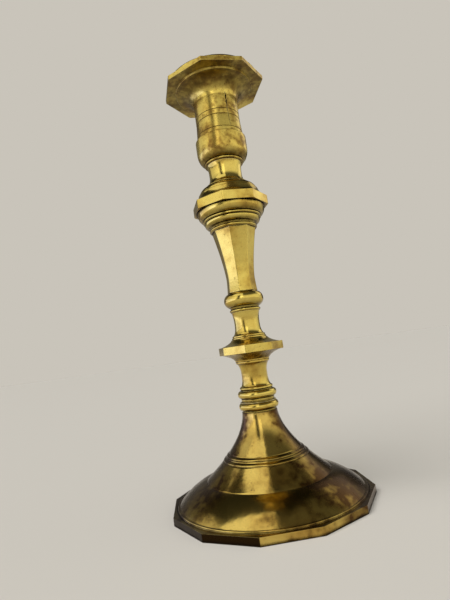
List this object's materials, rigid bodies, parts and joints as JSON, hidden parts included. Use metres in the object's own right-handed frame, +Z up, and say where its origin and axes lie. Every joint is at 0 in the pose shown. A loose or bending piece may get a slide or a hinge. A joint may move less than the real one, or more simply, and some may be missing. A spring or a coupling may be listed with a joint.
{
  "type": "table candlestick",
  "caption": "Single-light brass table candlestick: octagonal drip pan and socket on a turned stem with an octagonal knop, baluster and flange, over a hollow faceted foot.",
  "frame": {"origin": "centre of the foot's underside, on the surface that the candlestick stands on", "axes": "+Z up along the stem's axis; corners of the foot, knop, flange and drip pan lie on the X and Y axes"},
  "size_m": [0.11, 0.11, 0.2463],
  "materials": {
    "foot_brass": "cast, turned and polished, with brown patina in the recesses",
    "stem_brass": "turned and polished, worn",
    "faceted_brass": "filed flat and hand polished, bright on the edges",
    "socket_brass": "turned and polished, mottled under the pan",
    "fixing_steel": "plain, dulled"
  },
  "bodies": {
    "root": {"foot": "foot_brass", "lower_bead": "stem_brass", "upper_bead": "stem_brass", "lower_neck": "stem_brass", "middle_flange": "faceted_brass", "waist": "stem_brass", "ring_knop": "stem_brass", "baluster": "faceted_brass", "knop_collar": "stem_brass", "octagonal_knop": "faceted_brass", "upper_neck": "stem_brass", "candle_cup": "socket_brass", "socket_with_pan": "socket_brass", "tie_rod": "fixing_steel", "base_washer": "fixing_steel", "base_nut": "fixing_steel"}
  },
  "joints": []
}
